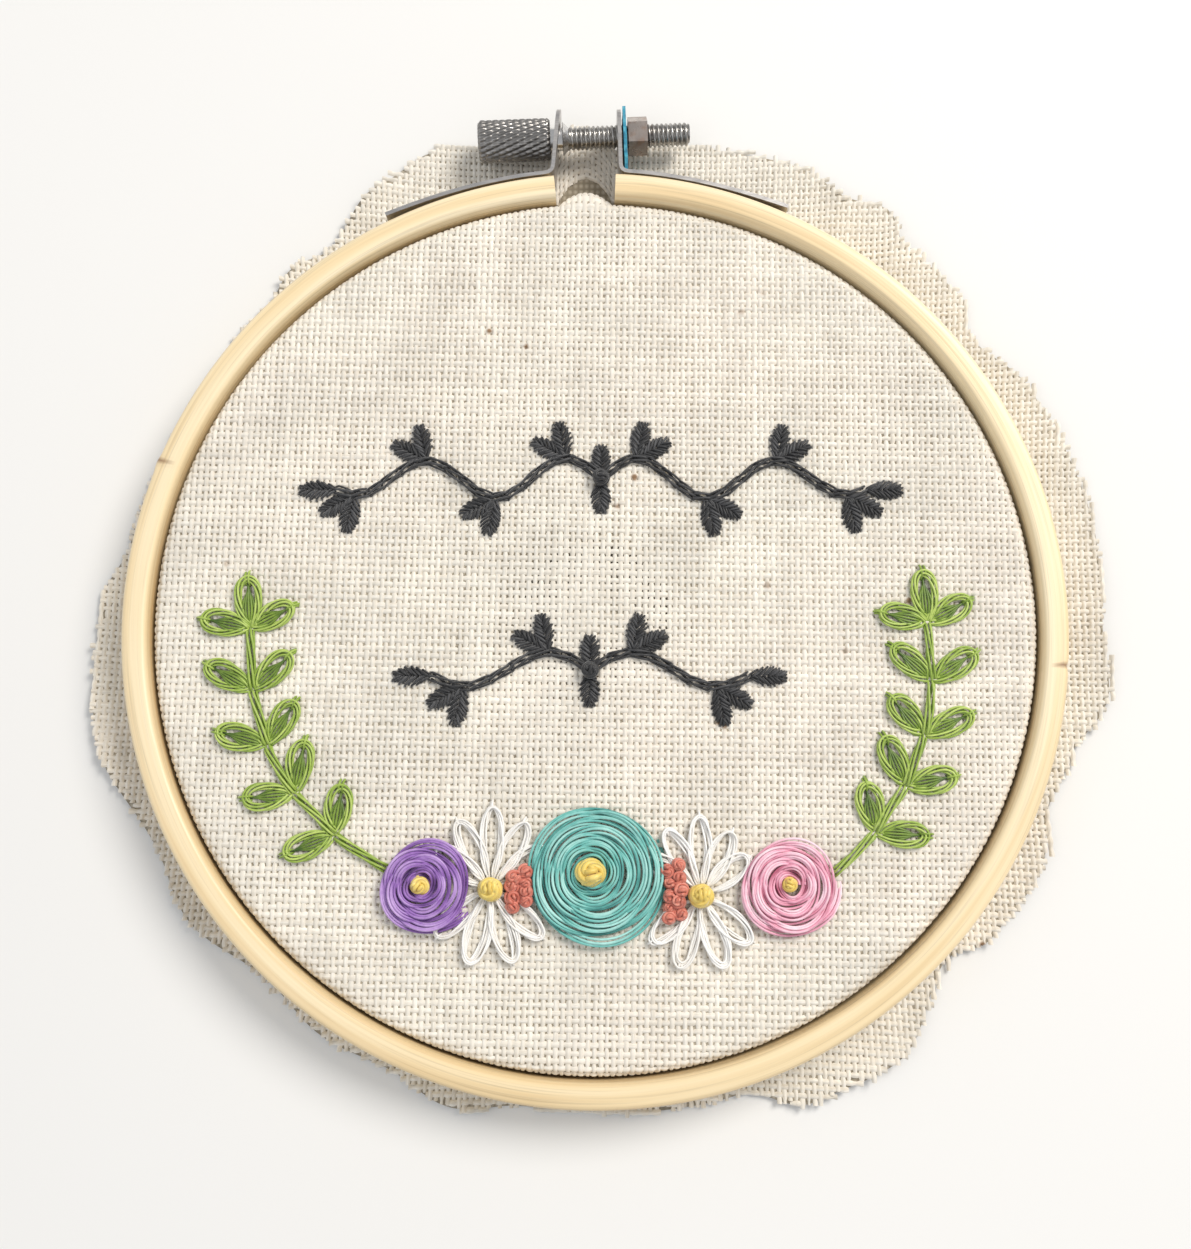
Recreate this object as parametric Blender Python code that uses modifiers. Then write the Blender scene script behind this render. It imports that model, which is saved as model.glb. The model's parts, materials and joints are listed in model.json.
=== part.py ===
"""Hoop embroidery art: a woven cloth stretched in a two-ring bamboo hoop closed by a thumb screw.

Metres, +Z up. The hoop lies face up on the plane z = 0, its screw towards +Y.
Bearings are degrees clockwise from +Y, seen from above, about the hoop's centre.
"""

from collections import namedtuple
from math import atan2, cos, degrees, hypot, pi, radians, sin, tan

import bmesh
import bpy
from mathutils import Matrix, Vector

MM = 0.001

# Frame: where the hoop's centre stands, so that the origin is the middle of the whole part's footprint
HOOP_X = -0.895 * MM
HOOP_Y = -5.386 * MM

# Rings
GAP = 0.3 * MM
CLOTH_THICK = 1.0 * MM
RING_ROUND = 0.8 * MM
OUTER_RADIUS = 76.0 * MM
RING_WALL = 4.0 * MM
OUTER_BOTTOM = CLOTH_THICK + GAP
OUTER_TOP = 9.9 * MM
INNER_RADIUS = OUTER_RADIUS - RING_WALL - CLOTH_THICK - 2 * GAP
INNER_TOP = 7.4 * MM
SPLIT_LEFT = -5.35
SPLIT_RIGHT = 2.6
RING_STEPS = 96

# Cloth: its middle surface lies half a thickness inside these places
CLOTH_MID = CLOTH_THICK / 2
SKIRT_Z = CLOTH_MID + 0.01 * MM
FACE_Z = INNER_TOP + GAP + CLOTH_MID
BAND_RADIUS = INNER_RADIUS + GAP + CLOTH_MID
TURN_RADIUS = RING_ROUND + GAP + CLOTH_MID
FACE_ROWS = (62 * MM,)
TURN_STEPS = 3
SKIRT_ROWS = (0.3, 0.55, 0.8, 1.0)
BEARING_STEP = 3.0
SPLIT_STEP = 0.75
BULGE = 1.9 * MM
BULGE_SPREAD = 3.0 * MM
BULGE_MARGIN = 0.45

# The skirt's outline: how far it reaches past the outer ring, and how high its edge lifts off the ground
Lobe = namedtuple("Lobe", "bearing reach lift")
LOBES = (
    Lobe(0, 9.5, 0.0), Lobe(14, 12.3, 0.0), Lobe(25, 13.6, 0.7), Lobe(30, 12.0, 1.2),
    Lobe(35, 14.3, 0.6), Lobe(39, 10.4, 1.4), Lobe(48, 10.2, 0.5), Lobe(52, 6.5, 0.2),
    Lobe(62, 9.4, 1.1), Lobe(76, 10.4, 0.4), Lobe(91, 8.8, 1.5), Lobe(98, 10.2, 0.5),
    Lobe(107, 5.4, 0.2), Lobe(112, 4.5, 0.3), Lobe(120, 7.2, 1.0), Lobe(129, 6.2, 0.5),
    Lobe(134, 3.0, 0.1), Lobe(146, 9.4, 1.2), Lobe(156, 8.3, 0.5), Lobe(163, 3.2, 0.1),
    Lobe(188, 2.4, 0.0), Lobe(197, 5.0, 0.7), Lobe(205, 3.1, 0.1), Lobe(213, 3.9, 0.5),
    Lobe(222, 2.6, 0.0), Lobe(234, 6.0, 0.9), Lobe(242, 4.9, 0.2), Lobe(257, 8.7, 1.3),
    Lobe(272, 7.4, 0.4), Lobe(280, 4.2, 0.2), Lobe(298, 3.4, 0.0), Lobe(314, 4.2, 0.3),
    Lobe(320, 6.5, 0.8), Lobe(324, 5.5, 0.2), Lobe(334, 11.2, 1.2), Lobe(341, 13.9, 0.3),
    Lobe(352, 10.8, 0.0),
)

# Screw: its axis crosses the middle plane x = 0 at AXIS_Y and leans a little outwards to the right
AXIS_Y = 84.7 * MM
AXIS_Z = 5.6 * MM
AXIS_LEAN = 2.3
THREAD_RADIUS = 1.95 * MM
KNOB_RADIUS = 3.5 * MM
KNOB_CHAMFER = 0.4 * MM
KNOB_START = -20.3 * MM
KNOB_END = -7.85 * MM
COLLAR_RADIUS = 2.8 * MM
COLLAR_START = -5.75 * MM
COLLAR_END = -4.8 * MM
ROD_END = 16.4 * MM
ROD_CHAMFER = 0.4 * MM
HOLE_RADIUS = THREAD_RADIUS + GAP
SCREW_STEPS = 32

# Brackets: a strip along the outer ring and a standing ear, a row for each side
STRIP_THICK = 0.65 * MM
STRIP_WIDTH = 7.6 * MM
STRIP_RADIUS = OUTER_RADIUS + GAP + STRIP_THICK / 2
STRIP_STANDOFF = 0.6 * MM
STRIP_STEPS = 14
BEND = 1.3 * MM
BEND_STEPS = 4
EAR_TIP = 89.4 * MM
Side = namedtuple("Side", "name sign ear_x ear_lean tail_bearing rivet_bearings")
SIDES = (
    Side("left", -1, -7.35 * MM, 4.5, -27.4, (-12.0, -22.0)),
    Side("right", 1, 4.34 * MM, -1.5, 25.0, (9.5, 19.5)),
)

# Rivets
RIVET_RADIUS = 0.8 * MM
RIVET_HEAD_RADIUS = 1.7 * MM
RIVET_HEAD_HEIGHT = 0.7 * MM
RIVET_INNER_END = OUTER_RADIUS - RING_WALL + 0.1 * MM
RIVET_LENGTH_SPARE = 1.0 * MM
RIVET_STEPS = 16
RIVET_DOME_STEPS = 4

# Nut and film, by their places along the screw
FILM_START = 4.75 * MM
FILM_THICK = 0.55 * MM
NUT_START = 5.65 * MM
NUT_THICK = 3.3 * MM
NUT_CORNER_RADIUS = 3.3 * MM
NUT_TURN = 14.0

# The film's torn outline, across (towards +Y) and up from the screw's axis
Tear = namedtuple("Tear", "out up")
FILM_OUTLINE = (
    Tear(-7.4, -2.9), Tear(-4.6, -3.5), Tear(0.4, -3.3), Tear(2.6, -2.6), Tear(3.4, -0.4),
    Tear(3.0, 1.9), Tear(3.7, 3.4), Tear(1.2, 3.1), Tear(-1.6, 3.6), Tear(-4.1, 3.0),
    Tear(-5.6, 3.5), Tear(-7.7, 2.4), Tear(-7.0, 0.3),
)

# Materials: colour, roughness, metallic
Finish = namedtuple("Finish", "colour roughness metallic")
FINISHES = {
    "bamboo": Finish((0.84, 0.70, 0.45), 0.45, 0.0),
    "cloth": Finish((0.83, 0.79, 0.71), 0.95, 0.0),
    "bracket_steel": Finish((0.50, 0.48, 0.46), 0.35, 1.0),
    "screw_steel": Finish((0.30, 0.29, 0.28), 0.32, 1.0),
    "nut_steel": Finish((0.42, 0.37, 0.34), 0.30, 1.0),
    "rivet_steel": Finish((0.45, 0.44, 0.42), 0.35, 1.0),
    "blue_film": Finish((0.06, 0.30, 0.42), 0.50, 0.0),
}


def clear_scene():
    for old in list(bpy.data.objects):
        bpy.data.objects.remove(old, do_unlink=True)


def new_collection(name):
    collection = bpy.data.collections.new(name)
    bpy.context.scene.collection.children.link(collection)
    return collection


def new_material(name):
    finish = FINISHES[name]
    material = bpy.data.materials.new(name)
    material.use_nodes = True
    shader = material.node_tree.nodes["Principled BSDF"]
    shader.inputs["Base Color"].default_value = (*finish.colour, 1.0)
    shader.inputs["Roughness"].default_value = finish.roughness
    shader.inputs["Metallic"].default_value = finish.metallic
    return material


def new_object(name, mesh, material=None, cutter=False):
    """Link a mesh as a part of the model, or as a cutter that is hidden."""
    made = bpy.data.objects.new(name, mesh)
    if cutter:
        CUTTERS.objects.link(made)
        made.hide_render = True
        made.display_type = "WIRE"
    else:
        PARTS.objects.link(made)
        made.parent = HOOP
        mesh.materials.append(material)
    return made


def smooth(mesh, angle=35.0):
    mesh.shade_smooth()
    mesh.set_sharp_from_angle(angle=radians(angle))


def turned(name, profile, steps, closed, material=None, cutter=False):
    """A profile of (radius, height) pairs, turned about the local Z axis."""
    mesh = bpy.data.meshes.new(name)
    points = [(radius, 0.0, height) for radius, height in profile]
    edges = [(i, i + 1) for i in range(len(points) - 1)]
    if closed:
        edges.append((len(points) - 1, 0))
    mesh.from_pydata(points, edges, [])
    made = new_object(name, mesh, material, cutter)
    screw = made.modifiers.new("turn", "SCREW")
    screw.steps = steps
    screw.render_steps = steps
    screw.use_merge_vertices = True
    screw.merge_threshold = 0.000001
    screw.use_smooth_shade = True
    weld = made.modifiers.new("poles", "WELD")
    weld.merge_threshold = 0.000001
    return made


def outline_solid(name, outline, thick, material=None, cutter=False):
    """A flat closed outline in the local XY plane, made a slab of this thickness about it."""
    curve = bpy.data.curves.new(name, "CURVE")
    curve.dimensions = "2D"
    curve.fill_mode = "BOTH"
    curve.extrude = thick / 2
    spline = curve.splines.new("POLY")
    spline.points.add(len(outline) - 1)
    for point, (x, y) in zip(spline.points, outline):
        point.co = (x, y, 0.0, 1.0)
    spline.use_cyclic_u = True
    drawn = bpy.data.objects.new(name, curve)
    bpy.context.scene.collection.objects.link(drawn)
    bpy.context.view_layer.update()
    mesh = bpy.data.meshes.new_from_object(drawn.evaluated_get(bpy.context.evaluated_depsgraph_get()))
    bpy.data.objects.remove(drawn)
    bpy.data.curves.remove(curve)
    form = bmesh.new()
    form.from_mesh(mesh)
    bmesh.ops.remove_doubles(form, verts=form.verts, dist=0.000001)
    bmesh.ops.recalc_face_normals(form, faces=form.faces)
    form.to_mesh(mesh)
    form.free()
    return new_object(name, mesh, material, cutter)


def rod_cutter(name, radius, start, end, frame, steps=24):
    """A cylinder along the local Z of a frame, from start to end."""
    mesh = bpy.data.meshes.new(name)
    form = bmesh.new()
    bmesh.ops.create_cone(
        form,
        cap_ends=True,
        segments=steps,
        radius1=radius,
        radius2=radius,
        depth=end - start,
        matrix=Matrix.Translation((0.0, 0.0, (start + end) / 2)),
    )
    form.to_mesh(mesh)
    form.free()
    made = new_object(name, mesh, cutter=True)
    made.parent = HOOP
    made.matrix_local = frame
    return made


def cut(target, cutter, operation="DIFFERENCE"):
    boolean = target.modifiers.new(cutter.name, "BOOLEAN")
    boolean.operation = operation
    boolean.solver = "EXACT"
    boolean.object = cutter


def at_bearing(radius, bearing):
    """The x and y of a place this far from the hoop's centre."""
    return radius * sin(radians(bearing)), radius * cos(radians(bearing))


def screw_frame():
    """Local Z along the screw, towards its free end; local X towards +Y and local Y upwards."""
    along = Vector((cos(radians(AXIS_LEAN)), sin(radians(AXIS_LEAN)), 0.0))
    across = Vector((-along.y, along.x, 0.0))
    frame = Matrix((across, (0.0, 0.0, 1.0), along)).transposed().to_4x4()
    frame.translation = (0.0, AXIS_Y, AXIS_Z)
    return frame


def rivet_frame(bearing):
    """Local Z pointing out of the hoop at a bearing, from the hoop's axis at the screw's height."""
    x, y = at_bearing(1.0, bearing)
    out = Vector((x, y, 0.0))
    along = Vector((y, -x, 0.0))
    frame = Matrix((along, out.cross(along), out)).transposed().to_4x4()
    frame.translation = (0.0, 0.0, AXIS_Z)
    return frame


def rounded_section(inner, outer, bottom, top, radius, corner_steps=2):
    """A ring's section, run down its outer side first, with every corner rounded."""
    corners = (
        (outer - radius, top - radius, 90.0),
        (outer - radius, bottom + radius, 0.0),
        (inner + radius, bottom + radius, -90.0),
        (inner + radius, top - radius, 180.0),
    )
    points = []
    for x, z, start in corners:
        for step in range(corner_steps + 1):
            angle = radians(start - 90.0 * step / corner_steps)
            points.append((x + radius * cos(angle), z + radius * sin(angle)))
    return points


def between_lobes(bearing):
    """The skirt's reach and lift at a bearing, eased from lobe to lobe."""
    wrapped = bearing % 360.0
    after = next((i for i, lobe in enumerate(LOBES) if lobe.bearing > wrapped), 0)
    low = LOBES[after - 1]
    high = LOBES[after]
    span = (high.bearing - low.bearing) % 360.0
    share = ((wrapped - low.bearing) % 360.0) / span
    ease = (1.0 - cos(pi * share)) / 2
    reach = low.reach + (high.reach - low.reach) * ease
    lift = low.lift + (high.lift - low.lift) * ease
    return reach * MM, lift * MM


def signed(bearing):
    """The same bearing, between -180 and 180."""
    return (bearing + 180.0) % 360.0 - 180.0


def split_bulge(bearing):
    """0 under the outer ring, rising to 1 in the middle of its split, where nothing holds the cloth in."""
    start = SPLIT_LEFT + BULGE_MARGIN
    share = (signed(bearing) - start) / (SPLIT_RIGHT - BULGE_MARGIN - start)
    if not 0.0 < share < 1.0:
        return 0.0
    return sin(pi * share) ** 0.7


def cloth_section(bearing):
    """The cloth's middle surface from its face out to its edge, as (radius, height) pairs."""
    rows = [(radius, FACE_Z) for radius in FACE_ROWS]
    turn_in = BAND_RADIUS - TURN_RADIUS
    upper = FACE_Z - TURN_RADIUS
    lower = SKIRT_Z + TURN_RADIUS
    for step in range(TURN_STEPS + 1):
        angle = pi / 2 * (1.0 - step / TURN_STEPS)
        rows.append((turn_in + TURN_RADIUS * cos(angle), upper + TURN_RADIUS * sin(angle)))
    rows.append((BAND_RADIUS, (upper + lower) / 2))
    turn_out = BAND_RADIUS + TURN_RADIUS
    for step in range(TURN_STEPS + 1):
        angle = pi + pi / 2 * step / TURN_STEPS
        rows.append((turn_out + TURN_RADIUS * cos(angle), lower + TURN_RADIUS * sin(angle)))
    bulge = split_bulge(bearing)
    held = len(FACE_ROWS)
    for index in range(held, len(rows)):
        radius, height = rows[index]
        drop = (FACE_Z - height) / FACE_Z
        settle = min(1.0, (index - held) / TURN_STEPS)
        rows[index] = (radius + bulge * (BULGE * settle + BULGE_SPREAD * drop), height)
    reach, lift = between_lobes(bearing)
    start = rows[-1][0]
    edge = OUTER_RADIUS + reach
    for share in SKIRT_ROWS:
        radius = start + (edge - start) * share
        clear = max(0.0, (radius - OUTER_RADIUS) / (edge - OUTER_RADIUS))
        rows.append((radius, SKIRT_Z + lift * clear ** 2))
    return rows


def cloth_bearings():
    """Evenly round the hoop, and closer together across the split."""
    bearings = {step * BEARING_STEP for step in range(round(360 / BEARING_STEP))}
    bearings = {bearing for bearing in bearings if not SPLIT_LEFT < signed(bearing) < SPLIT_RIGHT}
    steps = round((SPLIT_RIGHT - SPLIT_LEFT) / SPLIT_STEP)
    span = (SPLIT_RIGHT - SPLIT_LEFT) / steps
    bearings |= {(SPLIT_LEFT + span * step) % 360.0 for step in range(steps + 1)}
    return sorted(bearings)


def make_cloth(material):
    """One sheet, lofted between its sections at every bearing, then given its thickness."""
    form = bmesh.new()
    centre = form.verts.new((0.0, 0.0, FACE_Z))
    columns = []
    for bearing in cloth_bearings():
        column = []
        for radius, height in cloth_section(bearing):
            x, y = at_bearing(radius, bearing)
            column.append(form.verts.new((x, y, height)))
        columns.append(column)
    for index, column in enumerate(columns):
        before = columns[index - 1]
        form.faces.new((centre, column[0], before[0]))
        for row in range(len(column) - 1):
            form.faces.new((before[row], column[row], column[row + 1], before[row + 1]))
    bmesh.ops.recalc_face_normals(form, faces=form.faces)
    mesh = bpy.data.meshes.new("cloth")
    form.to_mesh(mesh)
    form.free()
    smooth(mesh)
    made = new_object("cloth", mesh, material)
    shell = made.modifiers.new("thickness", "SOLIDIFY")
    shell.thickness = CLOTH_THICK
    shell.offset = 0.0
    shell.use_even_offset = True
    return made


def make_outer_ring(material):
    section = rounded_section(OUTER_RADIUS - RING_WALL, OUTER_RADIUS, OUTER_BOTTOM, OUTER_TOP, RING_ROUND)
    ring = turned("outer_ring", section, RING_STEPS, closed=True, material=material)
    far = OUTER_RADIUS + RING_WALL
    wedge = [(0.0, 0.0), at_bearing(far, SPLIT_RIGHT), at_bearing(far, SPLIT_LEFT)]
    split = outline_solid("split_cutter", wedge, 3 * OUTER_TOP, cutter=True)
    split.parent = HOOP
    cut(ring, split)
    return ring


def make_inner_ring(material):
    section = rounded_section(INNER_RADIUS - RING_WALL, INNER_RADIUS, 0.0, INNER_TOP, RING_ROUND)
    return turned("inner_ring", section, RING_STEPS, closed=True, material=material)


def ear_point(side, y):
    """The middle of an ear's thickness at this y."""
    return side.ear_x + (y - OUTER_RADIUS) * tan(radians(side.ear_lean)), y


def bracket_path(side):
    """The middle line of a bracket from its ear's tip, round the bend and along the ring to its tail."""
    corner = ear_point(side, STRIP_RADIUS * cos(side.ear_x / STRIP_RADIUS))
    corner_bearing = degrees(atan2(corner[0], corner[1]))
    above = ear_point(side, corner[1] + BEND)
    bend_bearing = corner_bearing + side.sign * degrees(BEND / STRIP_RADIUS)
    along = at_bearing(STRIP_RADIUS, bend_bearing)
    path = [ear_point(side, EAR_TIP + GAP)]
    for step in range(BEND_STEPS + 1):
        t = step / BEND_STEPS
        start = Vector(above).lerp(Vector(corner), t)
        end = Vector(corner).lerp(Vector(along), t)
        path.append(tuple(start.lerp(end, t)))
    for step in range(1, STRIP_STEPS + 1):
        share = step / STRIP_STEPS
        bearing = bend_bearing + (side.tail_bearing - bend_bearing) * share
        path.append(at_bearing(STRIP_RADIUS + STRIP_STANDOFF * share ** 4, bearing))
    return path


def thickened(path, thick):
    """The closed outline of a strip of this thickness about a middle line."""
    left = []
    right = []
    for index, (x, y) in enumerate(path):
        back = path[max(index - 1, 0)]
        ahead = path[min(index + 1, len(path) - 1)]
        length = hypot(ahead[0] - back[0], ahead[1] - back[1])
        normal = ((back[1] - ahead[1]) / length, (ahead[0] - back[0]) / length)
        left.append((x + normal[0] * thick / 2, y + normal[1] * thick / 2))
        right.append((x - normal[0] * thick / 2, y - normal[1] * thick / 2))
    return left + right[::-1]


def make_ear_trim(side):
    """The form that a bracket's blank is trimmed to: its width, with a round end at the ear's tip."""
    half = STRIP_WIDTH / 2
    centre = EAR_TIP - half
    inner = OUTER_RADIUS * cos(radians(side.tail_bearing)) - 5 * MM
    outline = [(inner, -half)]
    for step in range(SCREW_STEPS // 2 + 1):
        angle = pi * step / (SCREW_STEPS // 2) - pi / 2
        outline.append((centre + half * cos(angle), half * sin(angle)))
    outline.append((inner, half))
    trim = outline_solid("trim_" + side.name, outline, OUTER_RADIUS, cutter=True)
    frame = Matrix(((0.0, 1.0, 0.0), (0.0, 0.0, 1.0), (1.0, 0.0, 0.0))).transposed().to_4x4()
    frame.translation = (side.sign * OUTER_RADIUS / 4, 0.0, AXIS_Z)
    trim.parent = HOOP
    trim.matrix_local = frame
    return trim


def make_bracket(side, material):
    outline = thickened(bracket_path(side), STRIP_THICK)
    bracket = outline_solid("bracket_" + side.name, outline, STRIP_WIDTH + 2 * GAP, material)
    bracket.location = (0.0, 0.0, AXIS_Z)
    cut(bracket, make_ear_trim(side), "INTERSECT")
    return bracket


def make_rivet(name, bearing, ring, bracket, material):
    """A domed rivet through a strip and the ring's wall, with its holes."""
    seat = STRIP_RADIUS + STRIP_THICK / 2 + GAP
    profile = [(0.0, seat + RIVET_HEAD_HEIGHT)]
    for step in range(1, RIVET_DOME_STEPS + 1):
        angle = pi / 2 * step / RIVET_DOME_STEPS
        profile.append((RIVET_HEAD_RADIUS * sin(angle), seat + RIVET_HEAD_HEIGHT * cos(angle)))
    profile += [(RIVET_RADIUS, seat), (RIVET_RADIUS, RIVET_INNER_END), (0.0, RIVET_INNER_END)]
    frame = rivet_frame(bearing)
    rivet = turned(name, profile, RIVET_STEPS, closed=False, material=material)
    rivet.matrix_local = frame
    start = RIVET_INNER_END - RIVET_LENGTH_SPARE
    end = seat + RIVET_LENGTH_SPARE
    hole = rod_cutter(name + "_hole", RIVET_RADIUS + GAP, start, end, frame, RIVET_STEPS)
    cut(ring, hole)
    cut(bracket, hole)
    return rivet


def make_thumb_screw(material):
    """Knob, captive collar and threaded rod in one turned piece, on the screw's axis."""
    profile = [
        (0.0, ROD_END),
        (THREAD_RADIUS - ROD_CHAMFER, ROD_END),
        (THREAD_RADIUS, ROD_END - ROD_CHAMFER),
        (THREAD_RADIUS, COLLAR_END),
        (COLLAR_RADIUS, COLLAR_START),
        (THREAD_RADIUS, COLLAR_START),
        (THREAD_RADIUS, KNOB_END),
        (KNOB_RADIUS - KNOB_CHAMFER, KNOB_END),
        (KNOB_RADIUS, KNOB_END - KNOB_CHAMFER),
        (KNOB_RADIUS, KNOB_START + KNOB_CHAMFER),
        (KNOB_RADIUS - KNOB_CHAMFER, KNOB_START),
        (0.0, KNOB_START),
    ]
    screw = turned("thumb_screw", profile, SCREW_STEPS, closed=False, material=material)
    screw.matrix_local = screw_frame()
    return screw


def make_nut(material):
    outline = []
    for corner in range(6):
        angle = radians(NUT_TURN + 60.0 * corner)
        outline.append((NUT_CORNER_RADIUS * cos(angle), NUT_CORNER_RADIUS * sin(angle)))
    nut = outline_solid("hex_nut", outline, NUT_THICK, material)
    nut.matrix_local = screw_frame() @ Matrix.Translation((0.0, 0.0, NUT_START + NUT_THICK / 2))
    return nut


def make_film(material):
    outline = [(tear.out * MM, tear.up * MM) for tear in FILM_OUTLINE]
    film = outline_solid("blue_film", outline, FILM_THICK, material)
    film.matrix_local = screw_frame() @ Matrix.Translation((0.0, 0.0, FILM_START + FILM_THICK / 2))
    return film


def main():
    materials = {name: new_material(name) for name in FINISHES}
    ring = make_outer_ring(materials["bamboo"])
    make_inner_ring(materials["bamboo"])
    make_cloth(materials["cloth"])
    make_thumb_screw(materials["screw_steel"])
    screw_hole = rod_cutter("screw_hole", HOLE_RADIUS, KNOB_START, ROD_END, screw_frame(), SCREW_STEPS)
    cut(make_nut(materials["nut_steel"]), screw_hole)
    cut(make_film(materials["blue_film"]), screw_hole)
    for side in SIDES:
        bracket = make_bracket(side, materials["bracket_steel"])
        cut(bracket, screw_hole)
        for number, bearing in enumerate(side.rivet_bearings, 1):
            name = "rivet_" + side.name + "_" + str(number)
            make_rivet(name, bearing, ring, bracket, materials["rivet_steel"])


clear_scene()
PARTS = new_collection("hoop_embroidery_art")
CUTTERS = new_collection("cutters")
HOOP = bpy.data.objects.new("hoop_centre", None)
HOOP.location = (HOOP_X, HOOP_Y, 0.0)
PARTS.objects.link(HOOP)
main()
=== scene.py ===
"""Looks for the hoop embroidery art: woven cloth, floss stitches, bamboo rings and steel fittings.

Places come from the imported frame. Lengths below are in millimetres times MM, and bearings are degrees
clockwise from +Y about the hoop's centre.
"""

import json
from collections import namedtuple
from math import cos, degrees, pi, radians, sin

import bpy
import numpy as np
from mathutils import Matrix, Vector


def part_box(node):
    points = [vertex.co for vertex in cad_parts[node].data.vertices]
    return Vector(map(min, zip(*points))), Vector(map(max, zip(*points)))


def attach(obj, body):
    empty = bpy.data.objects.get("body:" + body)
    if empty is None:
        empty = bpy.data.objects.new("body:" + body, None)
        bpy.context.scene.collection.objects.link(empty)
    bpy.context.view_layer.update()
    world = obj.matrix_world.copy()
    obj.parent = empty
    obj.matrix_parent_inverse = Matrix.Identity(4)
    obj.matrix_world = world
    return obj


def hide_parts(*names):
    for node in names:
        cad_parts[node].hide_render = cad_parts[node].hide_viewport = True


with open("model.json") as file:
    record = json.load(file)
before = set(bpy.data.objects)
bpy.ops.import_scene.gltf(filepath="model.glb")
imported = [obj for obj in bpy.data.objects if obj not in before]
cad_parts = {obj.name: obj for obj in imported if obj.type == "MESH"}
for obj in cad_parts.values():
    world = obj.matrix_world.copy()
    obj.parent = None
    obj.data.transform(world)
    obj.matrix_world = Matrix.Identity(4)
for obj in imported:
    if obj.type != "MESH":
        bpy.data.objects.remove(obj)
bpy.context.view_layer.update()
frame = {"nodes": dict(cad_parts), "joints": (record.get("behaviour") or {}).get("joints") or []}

MM = 0.001

# ---------------------------------------------------------------- places read from the frame
INNER_LOW, INNER_HIGH = (np.array(corner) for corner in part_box("inner_ring"))
OUTER_LOW, OUTER_HIGH = (np.array(corner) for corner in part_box("outer_ring"))
CLOTH_LOW, CLOTH_HIGH = (np.array(corner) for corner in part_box("cloth"))
CENTRE = np.array([(INNER_LOW[0] + INNER_HIGH[0]) / 2, (INNER_LOW[1] + INNER_HIGH[1]) / 2, 0.0])
INNER_RADIUS = (INNER_HIGH[0] - INNER_LOW[0]) / 2
OUTER_RADIUS = (OUTER_HIGH[0] - OUTER_LOW[0]) / 2
OUTER_TOP = OUTER_HIGH[2]
OUTER_BOTTOM = OUTER_LOW[2]
INNER_TOP = INNER_HIGH[2]
RING_WALL = 4.0 * MM
SPLIT_LEFT = -5.35
SPLIT_RIGHT = 2.6
JOINT = frame["joints"][0]

# ---------------------------------------------------------------- the cloth's shape, as in the CAD solid
CLOTH_HALF = 0.5 * MM
FACE_Z = CLOTH_HIGH[2] - CLOTH_HALF
SKIRT_Z = CLOTH_LOW[2] + CLOTH_HALF
BAND_RADIUS = INNER_RADIUS + 0.3 * MM + CLOTH_HALF
TURN = 1.6 * MM
TURN_START = BAND_RADIUS - TURN
TURN_END = TURN_START + TURN * pi / 2
BAND_TOP = FACE_Z - TURN
BAND_BOTTOM = SKIRT_Z + TURN
BAND_END = TURN_END + BAND_TOP - BAND_BOTTOM
FLARE_END = BAND_END + TURN * pi / 2
FLARE_RADIUS = BAND_RADIUS + TURN
BULGE = 1.9 * MM
BULGE_SPREAD = 3.0 * MM
BULGE_MARGIN = 0.45
RIPPLE = 0.35 * MM
RIPPLE_WAVES = (23, 37)

Lobe = namedtuple("Lobe", "bearing reach lift")
LOBES = (
    Lobe(0, 9.5, 0.0), Lobe(14, 12.3, 0.0), Lobe(25, 13.6, 0.7), Lobe(30, 12.0, 1.2),
    Lobe(35, 14.3, 0.6), Lobe(39, 10.4, 1.4), Lobe(48, 10.2, 0.5), Lobe(52, 6.5, 0.2),
    Lobe(62, 9.4, 1.1), Lobe(76, 10.4, 0.4), Lobe(91, 8.8, 1.5), Lobe(98, 10.2, 0.5),
    Lobe(107, 5.4, 0.2), Lobe(112, 4.5, 0.3), Lobe(120, 7.2, 1.0), Lobe(129, 6.2, 0.5),
    Lobe(134, 3.0, 0.1), Lobe(146, 9.4, 1.2), Lobe(156, 8.3, 0.5), Lobe(163, 3.2, 0.1),
    Lobe(188, 2.4, 0.0), Lobe(197, 5.0, 0.7), Lobe(205, 3.1, 0.1), Lobe(213, 3.9, 0.5),
    Lobe(222, 2.6, 0.0), Lobe(234, 6.0, 0.9), Lobe(242, 4.9, 0.2), Lobe(257, 8.7, 1.3),
    Lobe(272, 7.4, 0.4), Lobe(280, 4.2, 0.2), Lobe(298, 3.4, 0.0), Lobe(314, 4.2, 0.3),
    Lobe(320, 6.5, 0.8), Lobe(324, 5.5, 0.2), Lobe(334, 11.2, 1.2), Lobe(341, 13.9, 0.3),
    Lobe(352, 10.8, 0.0),
)


def between_lobes(bearing):
    """The skirt's reach and lift at these bearings, eased from lobe to lobe."""
    table = np.array(LOBES + (Lobe(LOBES[0].bearing + 360, *LOBES[0][1:]),), float)
    wrapped = np.mod(bearing, 360.0)
    after = np.clip(np.searchsorted(table[:, 0], wrapped, side="right"), 1, len(table) - 1)
    low, high = table[after - 1], table[after]
    share = (wrapped - low[..., 0]) / (high[..., 0] - low[..., 0])
    ease = ((1 - np.cos(pi * share)) / 2)[..., None]
    mixed = (low + (high - low) * ease) * MM
    return mixed[..., 1], mixed[..., 2]


def split_bulge(bearing):
    """0 under the outer ring, rising to 1 in the middle of its split."""
    start = SPLIT_LEFT + BULGE_MARGIN
    signed = np.mod(bearing + 180.0, 360.0) - 180.0
    share = np.clip((signed - start) / (SPLIT_RIGHT - BULGE_MARGIN - start), 0.0, 1.0)
    return np.abs(np.sin(pi * share)) ** 0.7


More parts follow.
